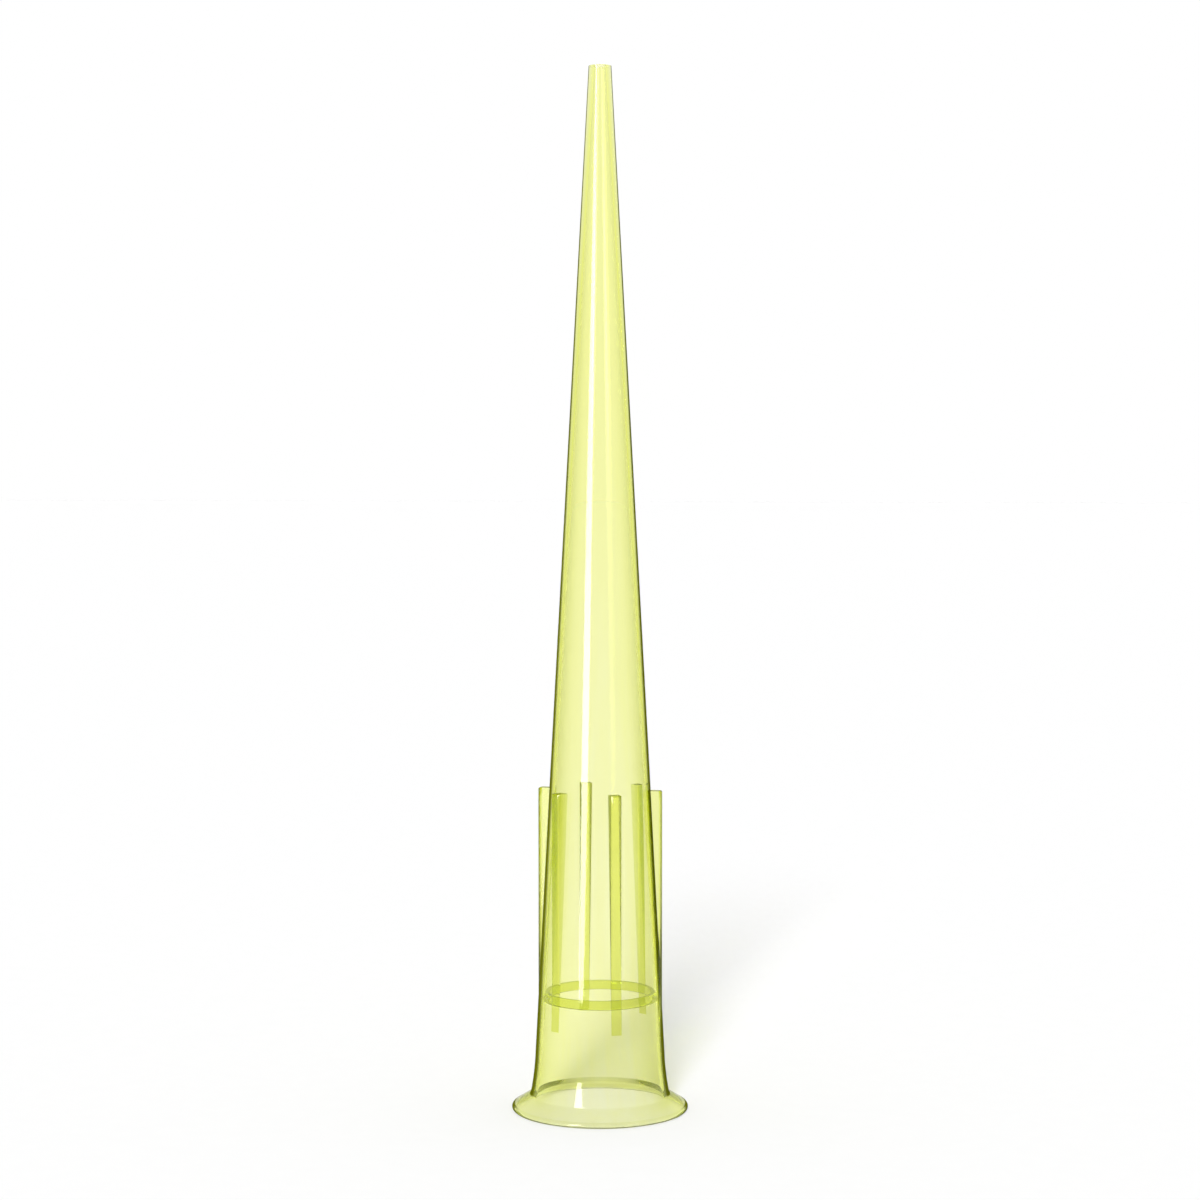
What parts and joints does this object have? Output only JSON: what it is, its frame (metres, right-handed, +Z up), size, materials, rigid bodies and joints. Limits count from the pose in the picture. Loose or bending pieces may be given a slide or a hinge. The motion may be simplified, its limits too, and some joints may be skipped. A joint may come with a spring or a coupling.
{
  "type": "pipette tip",
  "caption": "Thin translucent yellow pipette tip: long tapered barrel with a turned-out lip at the mouth, ribs and an inner sealing bead; pushes onto a pipette's nozzle to draw and dispense liquid.",
  "frame": {"origin": "centre of the mouth, on the plane of the rim that the tip stands on", "axes": "+Z up the axis from the mouth to the point; +X through the middle of one rib"},
  "size_m": [0.0084, 0.0084, 0.05],
  "materials": {
    "tip": "glossy translucent yellow-green polypropylene, clear enough to see the far wall, ribs and bead through the near wall"
  },
  "bodies": {
    "root": {"tip": "tip"}
  },
  "joints": []
}
